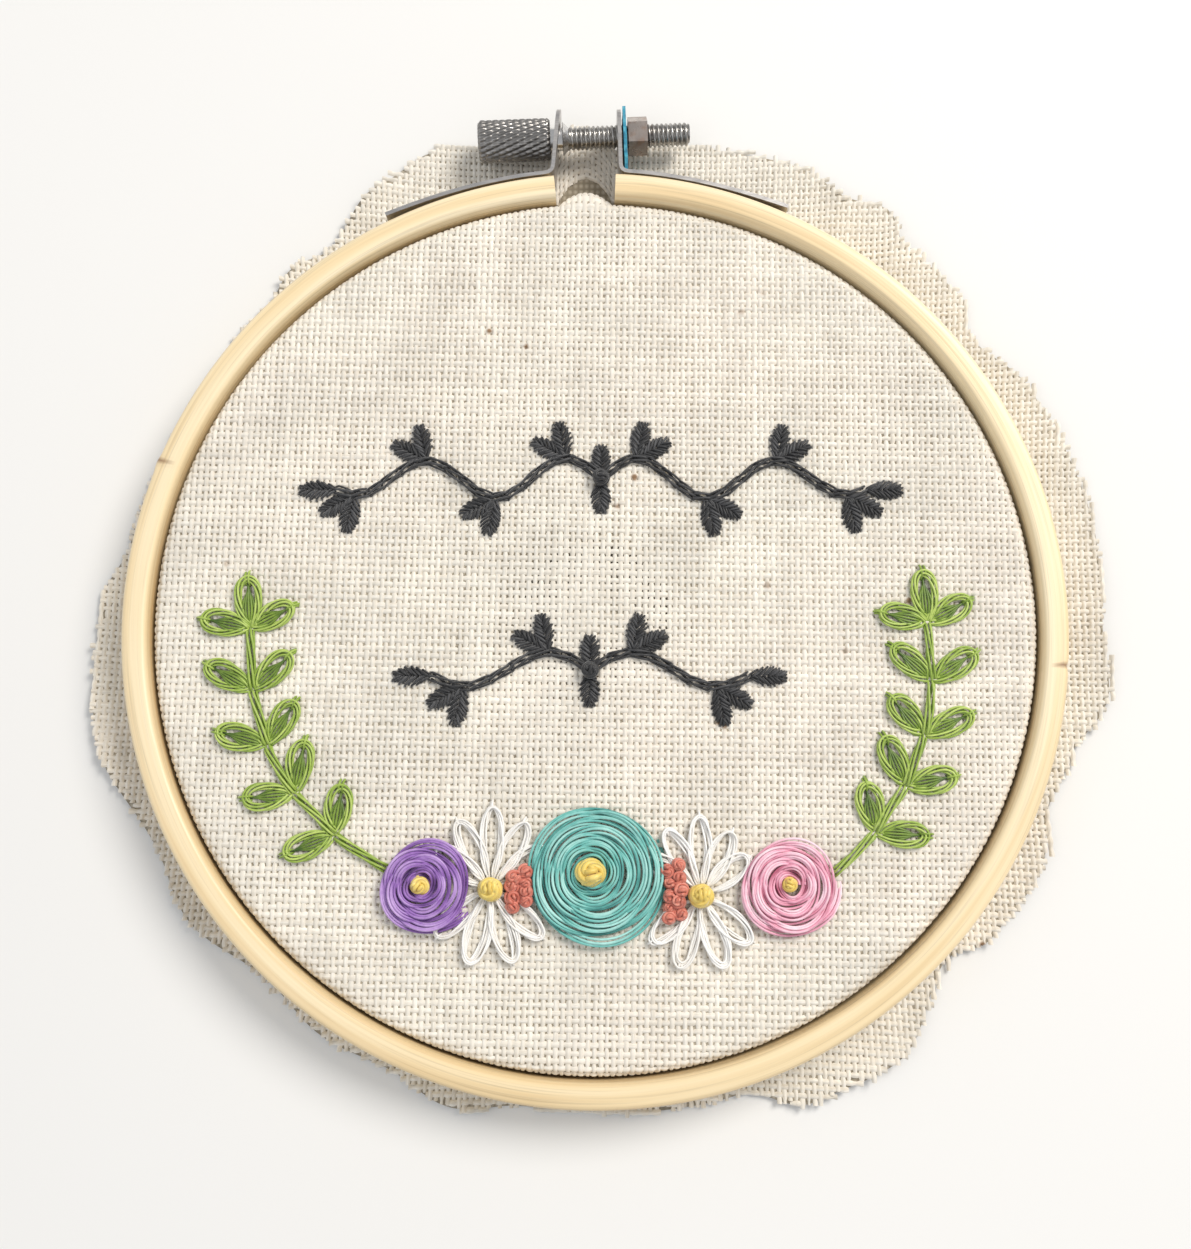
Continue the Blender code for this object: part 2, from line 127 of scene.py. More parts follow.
def edge_of(bearing):
    """How far the flat cloth reaches from its middle at these bearings."""
    reach, _ = between_lobes(bearing)
    return FLARE_END + OUTER_RADIUS + reach - FLARE_RADIUS


def on_cloth(u, v, above):
    """Points of the hooped cloth. u and v are places on the flat cloth, above is along its outward normal."""
    along = np.hypot(u, v)
    bearing = np.degrees(np.arctan2(u, v))
    reach, lift = between_lobes(bearing)
    turn = np.clip((along - TURN_START) / TURN, 0.0, pi / 2)
    down = np.clip(along - TURN_END, 0.0, BAND_END - TURN_END)
    flare = np.clip((along - BAND_END) / TURN, 0.0, pi / 2)
    out = np.maximum(along - FLARE_END, 0.0)
    radius = np.minimum(along, TURN_START) + TURN * np.sin(turn) + TURN * (1 - np.cos(flare)) + out
    height = FACE_Z - TURN * (1 - np.cos(turn)) - down - TURN * np.sin(flare)
    clear = np.clip((radius - OUTER_RADIUS) / np.maximum(reach, MM), 0.0, 1.2)
    slow, quick = (np.radians(waves * bearing) for waves in RIPPLE_WAVES)
    ripple = 0.5 + 0.25 * np.sin(slow) + 0.25 * np.sin(quick + 1.0)
    height = height + (lift + RIPPLE * ripple) * clear ** 2
    drop = (FACE_Z - height) / FACE_Z
    settle = np.clip((along - TURN_START) / (TURN_END - TURN_START), 0.0, 1.0)
    radius = radius + split_bulge(bearing) * (BULGE * settle + BULGE_SPREAD * np.clip(drop, 0.0, 1.0))
    lean = np.where(along < BAND_END, turn, pi / 2 - flare)
    radius = radius + above * np.sin(lean)
    height = height + above * np.cos(lean)
    x = radius * np.sin(np.radians(bearing))
    y = radius * np.cos(np.radians(bearing))
    return np.stack([x, y, height], axis=-1)


# ---------------------------------------------------------------- mesh making


def build_mesh(name, points, faces, loops=()):
    """A mesh from an array of points, an array of quads and a list of other faces."""
    faces = np.asarray(faces, np.int32).reshape(-1, 4)
    totals = np.concatenate([np.full(len(faces), 4), [len(loop) for loop in loops]]).astype(np.int32)
    corners = np.concatenate([faces.ravel(), *[np.asarray(loop) for loop in loops]]).astype(np.int32)
    starts = (np.cumsum(totals) - totals).astype(np.int32)
    mesh = bpy.data.meshes.new(name)
    mesh.vertices.add(len(points))
    mesh.vertices.foreach_set("co", np.asarray(points, np.float32).ravel())
    mesh.loops.add(len(corners))
    mesh.loops.foreach_set("vertex_index", corners)
    mesh.polygons.add(len(totals))
    mesh.polygons.foreach_set("loop_start", starts)
    mesh.update(calc_edges=True)
    mesh.validate()
    mesh.shade_smooth()
    return mesh


def add_piece(name, mesh, material, body="hoop"):
    made = bpy.data.objects.new(name, mesh)
    bpy.context.scene.collection.objects.link(made)
    mesh.materials.append(material)
    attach(made, body)
    return made


def write_floats(mesh, name, values):
    layer = mesh.attributes.new(name, "FLOAT", "POINT")
    layer.data.foreach_set("value", np.asarray(values, np.float32))


def write_vectors(mesh, name, values):
    layer = mesh.attributes.new(name, "FLOAT_VECTOR", "POINT")
    layer.data.foreach_set("vector", np.asarray(values, np.float32).ravel())


def write_map(mesh, flat):
    """A UV map named OFBake from one pair of numbers a vertex."""
    corners = np.empty(len(mesh.loops), np.int32)
    mesh.loops.foreach_get("vertex_index", corners)
    layer = mesh.uv_layers.new(name="OFBake", do_init=False)
    layer.uv.foreach_set("vector", np.asarray(flat, np.float32)[corners].ravel())


def grid_faces(rows, columns, around=False, along=False):
    """Quads of a grid of vertices stored row by row. around closes each row, along closes the columns."""
    here = np.arange(rows * columns).reshape(rows, columns)
    below = np.roll(here, -1, 0)
    right = np.roll(here, -1, 1)
    corner = np.roll(below, -1, 1)
    quads = np.stack([here, right, corner, below], axis=-1)
    quads = quads if along else quads[:-1]
    quads = quads if around else quads[:, :-1]
    return quads.reshape(-1, 4)


def steady_frames(path):
    """Tangent, side and up along a path, turning as little as they can."""
    tangent = np.gradient(path, axis=0)
    tangent /= np.linalg.norm(tangent, axis=1, keepdims=True)
    side = np.empty_like(tangent)
    now = np.cross(tangent[0], (0.0, 0.0, 1.0))
    if np.linalg.norm(now) < 0.2:
        now = np.cross(tangent[0], (1.0, 0.0, 0.0))
    for index, ahead in enumerate(tangent):
        now = now - ahead * (now @ ahead)
        now = now / np.linalg.norm(now)
        side[index] = now
    return tangent, side, np.cross(side, tangent)


class Strands:
    """Many thin closed tubes, gathered into one mesh, each with a shade of its own."""

    def __init__(self):
        self.points = []
        self.quads = []
        self.caps = []
        self.shades = []
        self.count = 0

    def add(self, path, radius, shade, sides=5):
        _, side, up = steady_frames(path)
        turn = 2 * pi * np.arange(sides) / sides
        radius = np.broadcast_to(radius, len(path))
        ring = np.cos(turn)[None, :, None] * side[:, None] + np.sin(turn)[None, :, None] * up[:, None]
        points = path[:, None] + ring * radius[:, None, None]
        self.points.append(points.reshape(-1, 3))
        self.quads.append(grid_faces(len(path), sides, around=True)[:, ::-1] + self.count)
        last = self.count + (len(path) - 1) * sides
        self.caps.append(self.count + np.arange(sides))
        self.caps.append(last + np.arange(sides)[::-1])
        self.shades.append(np.repeat(np.broadcast_to(shade, len(path)), sides))
        self.count += points.shape[0] * sides

    def bundle(self, path, width, height, strands, thick, shade, rng, twist=0.0, spread=0.12):
        """Floss laid along a path: strands in a low ellipse, with a slow twist in turns a metre, and painted
        light that makes the upper strands lighter than the lower.
        """
        _, side, up = steady_frames(path)
        steps = np.linalg.norm(np.diff(path, axis=0), axis=1)
        length = np.concatenate([[0.0], np.cumsum(steps)])
        start = rng.uniform(0, 2 * pi)
        for index in range(strands):
            phase = start + 2 * pi * index / strands + 2 * pi * twist * length
            wander = 1.0 + spread * np.sin(length / (3.1 * MM) + rng.uniform(0, 2 * pi, 1))
            across = width / 2 * np.cos(phase) * wander
            over = height / 2 * np.sin(phase)
            # painted light: strands high in the ellipse get a lighter shade and strands underneath a darker
            # one
            tone = shade + rng.uniform(-0.12, 0.12) + 0.08 * np.sin(phase)
            self.add(path + side * across[:, None] + up * over[:, None], thick, tone)

    def piece(self, name, material, body="hoop"):
        mesh = build_mesh(name, np.concatenate(self.points) + CENTRE, np.concatenate(self.quads), self.caps)
        write_floats(mesh, "shade", np.concatenate(self.shades))
        return add_piece(name, mesh, material, body)


def resample(points, step):
    """A smooth path through these points, at about this spacing."""
    points = np.asarray(points, float)
    padded = np.vstack([2 * points[0] - points[1], points, 2 * points[-1] - points[-2]])
    made = []
    for index in range(len(points) - 1):
        a, b, c, d = padded[index:index + 4]
        count = max(2, int(np.linalg.norm(c - b) / step))
        t = (np.arange(count) / count)[:, None]
        cubic = 2 * b + (c - a) * t + (2 * a - 5 * b + 4 * c - d) * t ** 2 + (3 * b - a - 3 * c + d) * t ** 3
        made.append(cubic / 2)
    made.append(points[-1:])
    return np.vstack(made)


# ---------------------------------------------------------------- materials


class Nodes:
    """A short way to write a material's node tree."""

    def __init__(self, name):
        self.material = bpy.data.materials.new(name)
        self.material.use_nodes = True
        self.tree = self.material.node_tree
        self.shader = self.tree.nodes["Principled BSDF"]

    def add(self, kind, inputs=None, **settings):
        node = self.tree.nodes.new(kind)
        for key, value in settings.items():
            setattr(node, key, value)
        for key, value in (inputs or {}).items():
            if isinstance(value, bpy.types.NodeSocket):
                self.tree.links.new(value, node.inputs[key])
            else:
                node.inputs[key].default_value = value
        return node

    def place(self):
        return self.add("ShaderNodeTexCoord").outputs["Object"]

    def attribute(self, name, output="Fac"):
        return self.add("ShaderNodeAttribute", attribute_name=name).outputs[output]

    def stretched(self, vector, scale):
        return self.add("ShaderNodeMapping", {"Vector": vector, "Scale": scale}).outputs["Vector"]

    def noise(self, vector, scale, detail=3.0, roughness=0.55):
        return self.add(
            "ShaderNodeTexNoise",
            {"Vector": vector, "Scale": scale, "Detail": detail, "Roughness": roughness},
        ).outputs["Fac"]

    def ramp(self, value, stops):
        """Colours or greys by position. stops are (position, colour)."""
        node = self.add("ShaderNodeValToRGB", {"Fac": value})
        ramp = node.color_ramp
        while len(ramp.elements) < len(stops):
            ramp.elements.new(0.5)
        for element, (position, colour) in zip(ramp.elements, stops):
            element.position = position
            element.color = (*colour, 1.0) if len(colour) == 3 else (colour[0], colour[0], colour[0], 1.0)
        return node.outputs["Color"]

    def mix(self, factor, first, second, blend="MIX"):
        node = self.add("ShaderNodeMix", data_type="RGBA", blend_type=blend)
        for socket, value in ((node.inputs[0], factor), (node.inputs[6], first), (node.inputs[7], second)):
            if isinstance(value, bpy.types.NodeSocket):
                self.tree.links.new(value, socket)
            else:
                socket.default_value = value
        return node.outputs[2]

    def math(self, operation, first, second=0.0, third=0.0):
        node = self.add("ShaderNodeMath", operation=operation)
        for socket, value in zip(node.inputs, (first, second, third)):
            if isinstance(value, bpy.types.NodeSocket):
                self.tree.links.new(value, socket)
            else:
                socket.default_value = value
        return node.outputs[0]

    def colour(self, value):
        self.tree.links.new(value, self.shader.inputs["Base Color"])

    def rough(self, value):
        self.tree.links.new(value, self.shader.inputs["Roughness"])

    def bump(self, height, distance, strength=1.0):
        node = self.add("ShaderNodeBump", {"Height": height, "Distance": distance, "Strength": strength})
        self.tree.links.new(node.outputs["Normal"], self.shader.inputs["Normal"])

    def set(self, **values):
        for key, value in values.items():
            self.shader.inputs[key.replace("_", " ")].default_value = value


def rgba(colour):
    return (*colour, 1.0)


def cotton(name, grain, colour, dark):
    """Unbleached cotton yarn: mottled cream, fine fibres along grain, a few brown flecks."""
    n = Nodes(name)
    place = n.place()
    fibres = n.noise(n.stretched(place, grain), 1.0, 4.0)
    mottle = n.noise(place, 90.0, 3.0)
    patches = n.noise(place, 24.0, 2.0)
    base = n.mix(n.ramp(fibres, [(0.3, (0.0,)), (0.7, (1.0,))]), rgba(dark), rgba(colour))
    warm = n.mix(n.ramp(patches, [(0.42, (0.0,)), (0.7, (1.0,))]), base, rgba((0.86, 0.74, 0.66)), "MIX")
    base = n.mix(0.16, base, warm)
    tone = n.ramp(mottle, [(0.3, (0.90,)), (0.7, (1.06,))])
    base = n.mix(1.0, base, tone, "MULTIPLY")
    shade = n.attribute("shade")
    base = n.mix(1.0, base, n.ramp(shade, [(0.0, (0.82,)), (1.0, (1.12,))]), "MULTIPLY")
    cells = n.add("ShaderNodeTexVoronoi", {"Vector": place, "Scale": 260.0}, feature="F1")
    chosen = n.noise(place, 61.0, 1.0)
    near = n.ramp(cells.outputs["Distance"], [(0.10, (1.0,)), (0.2, (0.0,))])
    few = n.ramp(chosen, [(0.66, (0.0,)), (0.72, (1.0,))])
    mark = n.math("MULTIPLY", near, few)
    base = n.mix(mark, base, rgba((0.30, 0.19, 0.11)))
    n.colour(base)
    n.set(Roughness=0.88, Sheen_Weight=0.25, Sheen_Roughness=0.5, Specular_IOR_Level=0.2)
    n.bump(fibres, 0.00006)
    return n.material


def floss(name, dark, colour, light, sheen=0.35, roughness=0.4):
    """Stranded cotton floss with a silky shine; shade runs from dark to light."""
    n = Nodes(name)
    place = n.place()
    shade = n.attribute("shade")
    grain = n.noise(place, 900.0, 3.0)
    mixed = n.math("ADD", shade, n.math("MULTIPLY", n.math("SUBTRACT", grain, 0.5), 0.45))
    n.colour(n.ramp(mixed, [(0.0, dark), (0.5, colour), (1.0, light)]))
    n.rough(n.ramp(grain, [(0.3, (roughness - 0.08,)), (0.7, (roughness + 0.12,))]))
    n.set(Sheen_Weight=sheen, Sheen_Roughness=0.4, Specular_IOR_Level=0.5)
    n.bump(grain, 0.00004)
    return n.material


def bamboo(name, dark, colour, light):
    """Bent bamboo strip: fine grain along the ring, faint long streaks, glossy rubbed finish."""
    n = Nodes(name)
    grain = n.attribute("grain", "Vector")
    fine = n.noise(n.stretched(grain, (25.0, 2600.0, 2600.0)), 1.0, 5.0, 0.6)
    broad = n.noise(n.stretched(grain, (7.0, 420.0, 420.0)), 1.0, 3.0)
    base = n.ramp(broad, [(0.25, dark), (0.5, colour), (0.75, light)])
    lines = n.ramp(fine, [(0.34, (0.80,)), (0.47, (1.0,)), (0.75, (1.05,))])
    base = n.mix(1.0, base, lines, "MULTIPLY")
    pale = n.noise(n.place(), 30.0, 2.0)
    base = n.mix(n.ramp(pale, [(0.4, (0.0,)), (0.8, (0.35,))]), base, rgba(light))
    mark = n.attribute("mark")
    base = n.mix(mark, base, rgba((0.23, 0.11, 0.05)))
    n.colour(base)
    n.rough(n.ramp(fine, [(0.3, (0.48,)), (0.7, (0.34,))]))
    n.set(Coat_Weight=0.25, Coat_Roughness=0.3)
    n.bump(n.mix(0.5, fine, broad), 0.00012)
    return n.material


def steel(name, dark, colour, grain, roughness=0.32, rust=0.0):
    """Plated steel: brushed lines along grain, soft blotches and slightly worn, brighter patches."""
    n = Nodes(name)
    place = n.place()
    lines = n.noise(n.stretched(place, grain), 1.0, 4.0, 0.6)
    blotch = n.noise(place, 480.0, 4.0)
    base = n.ramp(n.mix(0.5, lines, blotch), [(0.3, dark), (0.7, colour)])
    if rust:
        stain = n.ramp(n.noise(place, 700.0, 3.0), [(0.5, (0.0,)), (0.68, (rust,))])
        base = n.mix(stain, base, rgba((0.35, 0.21, 0.14)))
    n.colour(base)
    n.rough(n.ramp(blotch, [(0.3, (roughness + 0.14,)), (0.7, (roughness - 0.06,))]))
    n.set(Metallic=1.0)
    n.bump(lines, 0.00003)
    return n.material


def torn_film(name):
    n = Nodes(name)
    blotch = n.noise(n.place(), 900.0, 4.0)
    blues = [(0.3, (0.015, 0.12, 0.20)), (0.5, (0.03, 0.27, 0.40)), (0.72, (0.12, 0.45, 0.55))]
    n.colour(n.ramp(blotch, blues))
    n.rough(n.ramp(blotch, [(0.3, (0.55,)), (0.7, (0.30,))]))
    n.bump(blotch, 0.0002)
    return n.material


# ---------------------------------------------------------------- the woven cloth
WARP_PITCH = 0.99 * MM
WEFT_PITCH = 1.17 * MM
WEAVE_TURN = 1.0
WEAVE_MIDDLE = 0.05 * MM
WAVE = 0.13 * MM
YARN_HALF_HEIGHT = 0.2 * MM
FACE_KEPT = TURN_END + 0.6 * MM
HIDDEN_UNTIL = FLARE_END + 2.0 * MM
NO_END = 1.0
WARP_FILL = 0.80
WEFT_FILL = 0.76
SHEET_THICK = 0.25 * MM
SHEET_ABOVE = -0.22 * MM
SECTION = ((-1.0, -0.9), (-0.5, 0.75), (0.5, 0.75), (1.0, -0.9))


def yarns(name, pitch, cross_pitch, fill, material, across, lowest, highest, rng):
    """Every yarn that runs one way, as waved ribbons over and under the other yarns.

    across is True for yarns along u. lowest and highest bound how far from the middle they are kept.
    """
    reach = edge_of(np.arange(360.0)).max() + 2 * MM
    count = int(reach / pitch)
    crossings = int(reach / cross_pitch)
    index = np.arange(-count, count + 1)
    cross = np.arange(-crossings, crossings + 1)
    samples = (cross[:, None] + np.array([-0.22, 0.22])[None]).ravel()
    over = np.where((index[:, None] + cross[None]) % 2 == (0 if across else 1), 1.0, -1.0)
    over = np.repeat(over, 2, axis=1)
    along = samples * cross_pitch
    phase = rng.uniform(0, 2 * pi, (len(index), 3))
    sway = sum(
        np.sin(along[None] / length + phase[:, k:k + 1]) * size
        for k, (length, size) in enumerate(((9 * MM, 0.05), (3.7 * MM, 0.04), (1.3 * MM, 0.035)))
    )
    middle = (index[:, None] + sway) * pitch
    swell = sum(
        np.sin(along[None] / length + phase[:, k:k + 1] * 1.7) * size
        for k, (length, size) in enumerate(((13 * MM, 0.05), (5 * MM, 0.05), (0.9 * MM, 0.06)))
    )
    width = fill * pitch / 2 * (1 + swell + rng.normal(0, 0.05, (len(index), 1)))
    width = width * np.where(over > 0, 1.06, 0.94)
    offsets = np.array(SECTION)
    sideways = middle[..., None] + width[..., None] * offsets[:, 0]
    lengthways = np.broadcast_to(along[None, :, None], sideways.shape)
    above = WEAVE_MIDDLE + WAVE * over[..., None] + YARN_HALF_HEIGHT * offsets[:, 1]
    u, v = (lengthways, sideways) if across else (sideways, lengthways)
    angle = radians(-WEAVE_TURN)
    u, v = u * cos(angle) - v * sin(angle), u * sin(angle) + v * cos(angle)
    flat = np.stack([u, v], axis=-1)
    far = np.hypot(u, v)[..., 1]
    edge = edge_of(np.degrees(np.arctan2(u[..., 1], v[..., 1]))) + rng.normal(0, 0.35 * MM, (len(index), 1))
    kept = (far < edge) & (far >= lowest) & (far < highest)
    points = on_cloth(u, v, above)
    shade = 0.5 + rng.normal(0, 0.10, (len(index), 1, 1)) + 0.12 * swell[..., None] / 0.1 * 0.3
    shade = np.broadcast_to(shade, above.shape)
    grid = np.arange(points[..., 0].size).reshape(points.shape[:3])
    quads = np.stack(
        [grid[:, :-1, :-1], grid[:, 1:, :-1], grid[:, 1:, 1:], grid[:, :-1, 1:]],
        axis=-1,
    )
    if across:
        quads = quads[..., ::-1]
    quads = quads[(kept[:, :-1] & kept[:, 1:])].reshape(-1, 4)
    used, corners = np.unique(quads, return_inverse=True)
    mesh = build_mesh(name, points.reshape(-1, 3)[used] + CENTRE, corners.reshape(-1, 4))
    write_floats(mesh, "shade", shade.ravel()[used])
    write_map(mesh, flat.reshape(-1, 2)[used] / (2.1 * reach) + 0.5)
    return add_piece(name, mesh, material)


def base_sheet(material):
    """The whole cloth as one thin sheet just under the yarns' tops, which shows through the holes in a dark
    colour that is painted shade.
    """
    bearings = np.unique(np.concatenate([np.arange(0, 360, 1.0), np.arange(-6.0, 3.2, 0.25) % 360]))
    edge = edge_of(bearings) - 0.3 * MM
    fixed = np.concatenate([
        np.array([12, 24, 36, 48, 60]) * MM,
        np.linspace(TURN_START, TURN_END, 5),
        [(TURN_END + BAND_END) / 2],
        np.linspace(BAND_END, FLARE_END, 5),
    ])
    shares = np.linspace(0, 1, 8)[1:]
    rows = [np.full(len(bearings), value) for value in fixed]
    rows += [FLARE_END + (edge - FLARE_END) * share for share in shares]
    along = np.array(rows)
    u = along * np.sin(np.radians(bearings))
    v = along * np.cos(np.radians(bearings))
    points = on_cloth(u, v, np.full(u.shape, SHEET_ABOVE)).reshape(-1, 3)
    centre = np.array([[0.0, 0.0, FACE_Z + SHEET_ABOVE]])
    quads = grid_faces(len(rows), len(bearings), around=True)
    first = np.arange(len(bearings))
    fan = [(len(points), a, b) for a, b in zip(first, np.roll(first, -1))]
    fan = [face[::-1] for face in fan]
    mesh = build_mesh("cloth_sheet", np.vstack([points, centre]) + CENTRE, quads[:, ::-1], fan)
    mesh.flip_normals()
    made = add_piece("cloth_sheet", mesh, material)
    shell = made.modifiers.new("thickness", "SOLIDIFY")
    shell.thickness = SHEET_THICK
    shell.offset = 0.0
    return made


def hole_shade_look():
    """Painted shade for the holes between the yarns: a dark brown sheet seen through them from above, and a
    plain bumped weave underneath.
    """
    n = Nodes("cloth_hole_shade")
    place = n.place()
    turned = n.stretched(place, (1 / WARP_PITCH, 1 / WEFT_PITCH, 1.0))
    separate = n.add("ShaderNodeSeparateXYZ", {"Vector": turned})
    ridge_x = n.math("PINGPONG", separate.outputs["X"], 0.5)
    ridge_y = n.math("PINGPONG", separate.outputs["Y"], 0.5)
    weave = n.math("MULTIPLY", ridge_x, ridge_y)
    mottle = n.noise(place, 60.0, 3.0)
    # painted shade: these dark browns stand in for the shade inside the holes of the weave
    tone = n.ramp(weave, [(0.0, (0.24, 0.205, 0.15)), (0.12, (0.42, 0.37, 0.29)), (0.25, (0.52, 0.46, 0.37))])
    n.colour(n.mix(n.ramp(mottle, [(0.3, (0.0,)), (0.7, (0.5,))]), tone, rgba((0.46, 0.40, 0.31))))
    n.set(Roughness=0.95, Specular_IOR_Level=0.1)
    n.bump(weave, 0.0004)
    return n.material


# ---------------------------------------------------------------- stitches
STITCH_Z = FACE_Z + WEAVE_MIDDLE + WAVE + YARN_HALF_HEIGHT * 0.75
STRAND = 0.19 * MM
BURIED = -0.6 * MM


def lifted(points, heights):
    """Flat points with heights above the cloth's face."""
    points = np.asarray(points, float)
    return np.column_stack([points, STITCH_Z + np.broadcast_to(heights, len(points))])


def teardrop(length, width, steps, pointed=0.55):
    """A loop that starts and ends at the base and rounds over its tip, along +X."""
    angle = np.linspace(0.0, 2 * pi, steps)
    x = length * (1 - np.cos(angle)) / 2
    y = width / 2 * np.sin(angle) * np.sin(angle / 2) ** pointed
    return np.column_stack([x, y]), np.sin(angle / 2)


def placed(points, at, heading):
    """Points turned so that +X points along this bearing, then moved."""
    angle = radians(90.0 - heading)
    turn = np.array([[cos(angle), -sin(angle)], [sin(angle), cos(angle)]])
    return points @ turn.T + np.asarray(at)


def leaf(out, at, heading, length, width, rng, strands=5):
    """A filled lazy-daisy leaf: a loop of floss, darker strands inside that darken further towards the tip as
    painted shade, and a short stitch over its tip.
    """
    for k, share in enumerate(np.linspace(-0.62, 0.62, 5)):
        reach = length * (0.9 - 0.22 * abs(share))
        steps = np.linspace(0, 1, 12)
        bow = np.column_stack([steps * reach, share * width * 0.42 * np.sin(pi * steps ** 0.8)])
        rise = np.where(steps < 0.1, BURIED / 2, 0.12 * MM + 0.3 * MM * np.sin(pi * steps))
        path = lifted(placed(bow, at, heading), rise)
        # painted shade: the fill darkens towards the tip, where a pit sits inside the loop
        out.add(path, STRAND * 1.05, 0.36 - 0.34 * steps ** 2 + rng.uniform(-0.08, 0.08))
    loop, arch = teardrop(length, width, 34)
    loop = placed(loop, at, heading)
    rise = BURIED * (1 - arch) ** 2 + 0.55 * MM * arch ** 0.5
    path = lifted(loop, rise)
    out.bundle(path, 1.0 * MM, 0.55 * MM, strands, STRAND, 0.62, rng, twist=60.0)
    tip = np.array([[length * 0.86, 0.0], [length * 0.98, 0.0], [length * 1.12, 0.0], [length * 1.18, 0.0]])
    bend = np.array([[0, 0], [0, 0.1], [0, 0.1], [0, 0.1]]) * MM * rng.uniform(-1, 1)
    anchor = lifted(placed(tip + bend, at, heading), np.array([-0.2, 0.75, 0.35, -0.6]) * MM)
    out.bundle(resample(anchor, 0.35 * MM), 0.7 * MM, 0.35 * MM, 3, STRAND, 0.45, rng)


def petal(out, at, heading, length, width, rng, strands=3):
    """A loose white loop whose strands part from each other."""
    for k in range(strands):
        part = 1.0 + (k - (strands - 1) / 2) * rng.uniform(0.14, 0.3)
        loop, arch = teardrop(length * rng.uniform(0.95, 1.03), width * part, 30, 0.4)
        wobble = np.cumsum(rng.normal(0, 0.02 * MM, (30, 2)), axis=0)
        loop = placed(loop + wobble * arch[:, None], at, heading + rng.uniform(-2, 2))
        rise = BURIED * (1 - arch) ** 3 + (0.35 + 0.28 * k) * MM * arch ** 0.4
        path = lifted(loop, rise)
        shade = 0.6 + rng.uniform(-0.15, 0.2)
        out.bundle(path, 0.34 * MM, 0.3 * MM, 2, STRAND * 0.95, shade, rng, twist=90.0)
    tip = np.array([[length * 0.94, 0.0], [length * 1.0, 0.0], [length * 1.07, 0.0]])
    anchor = lifted(placed(tip, at, heading), np.array([-0.3, 0.8, -0.5]) * MM)
    out.bundle(resample(anchor, 0.3 * MM), 0.4 * MM, 0.3 * MM, 2, STRAND, 0.6, rng)


def straight_stitch(out, start, end, strands, width, shade, rng, bow=0.0, height=0.5 * MM, twist=35.0):
    start, end = np.asarray(start, float), np.asarray(end, float)
    length = np.linalg.norm(end - start)
    t = np.linspace(0, 1, max(8, int(length / (0.55 * MM))))
    normal = np.array([-(end - start)[1], (end - start)[0]]) / length
    flat = start + (end - start) * t[:, None] + normal * (bow * np.sin(pi * t))[:, None]
    rise = BURIED * (1 - np.sin(pi * t)) ** 6 + height * np.sin(pi * t) ** 0.35
    out.bundle(lifted(flat, rise), width, width * 0.55, strands, STRAND, shade, rng, twist=twist)


def french_knot(out, at, size, rng, base=0.0, shade=0.5, strands=4, turns=2.3):
    """Floss wound round itself, its end passing over the coil and down through the middle."""
    coil = size * 0.27
    thick = size * 0.44
    start = rng.uniform(0, 2 * pi)
    t = np.linspace(0, 1, int(16 * turns))
    angle = start + 2 * pi * turns * t
    spiral = coil * (1.0 - 0.25 * t)
    flat = np.column_stack([np.cos(angle), np.sin(angle)]) * spiral[:, None] * np.array([1.0, 0.9])
    rise = base + thick * 0.5 + size * 0.24 * t
    rise = np.concatenate([rise, base + np.array([size * 0.72, size * 0.6, size * 0.2, -size * 0.2])])
    last = flat[-1]
    flat = np.vstack([flat, last * 0.5, last * 0.05, -last * 0.1, -last * 0.1]) + np.asarray(at)
    path = resample(lifted(flat, rise), size * 0.16)
    out.bundle(path, thick, thick * 0.8, strands, thick * 0.27, shade, rng, twist=120.0)


def rose(out, at, radius, core, rng, strands=4, spoke_phase=0.3, eccentric=(0.0, 0.0), squareness=0.35):
    """A woven-wheel rose: floss wound round five spokes, over one and under the next, with painted light on
    the passes over the spokes and painted shade in the dips and the sunken middle.
    """
    pitch = 0.98 * MM
    turns = (radius - core) / pitch
    steps = int(turns * 62)
    angle = np.linspace(0, 2 * pi * turns, steps)
    wave = np.cos(2.5 * angle + spoke_phase)
    share = angle / angle[-1]
    reach = core + pitch * angle / (2 * pi) - 0.4 * MM + squareness * MM * wave * (0.4 + 0.6 * share)
    reach = reach + 0.18 * MM * np.sin(angle * 0.83 + 1.0)
    middle = np.outer(1.0 - share, np.asarray(eccentric)) + np.asarray(at)
    flat = middle + np.column_stack([np.cos(angle), np.sin(angle)]) * reach[:, None]
    dome = 0.35 * MM + 1.25 * MM * np.sin(pi * np.clip(0.12 + 0.80 * share, 0, 1)) ** 0.8
    rise = dome + 0.42 * MM * wave * (0.5 + 0.5 * share)
    rise[-8:] = np.linspace(rise[-8], BURIED, 8)
    path = lifted(flat, rise)
    _, side, up = steady_frames(path)
    length = np.concatenate([[0.0], np.cumsum(np.linalg.norm(np.diff(path, axis=0), axis=1))])
    for k in range(strands):
        slot = (k / (strands - 1) - 0.5) * 1.02 * MM
        drift = 0.16 * MM * np.sin(length / (4.3 * MM) + rng.uniform(0, 2 * pi))
        swap = 0.14 * MM * np.sin(length / (2.3 * MM) + rng.uniform(0, 2 * pi))
        # painted light: floss riding high over a spoke gets a lighter shade, floss dipping under one a darker
        # shade
        tone = 0.5 + 0.22 * wave + 0.10 * np.sin(length / (5.7 * MM) + k) + rng.uniform(-0.1, 0.1)
        # painted shade: the inner turns, sunken round the middle, are darkened
        tone = tone - 0.30 * np.clip(1 - share * 2.2, 0, 1)
        out.add(path + side * (slot + drift)[:, None] + up * (swap + 0.12 * MM)[:, None], STRAND * 1.12, tone)


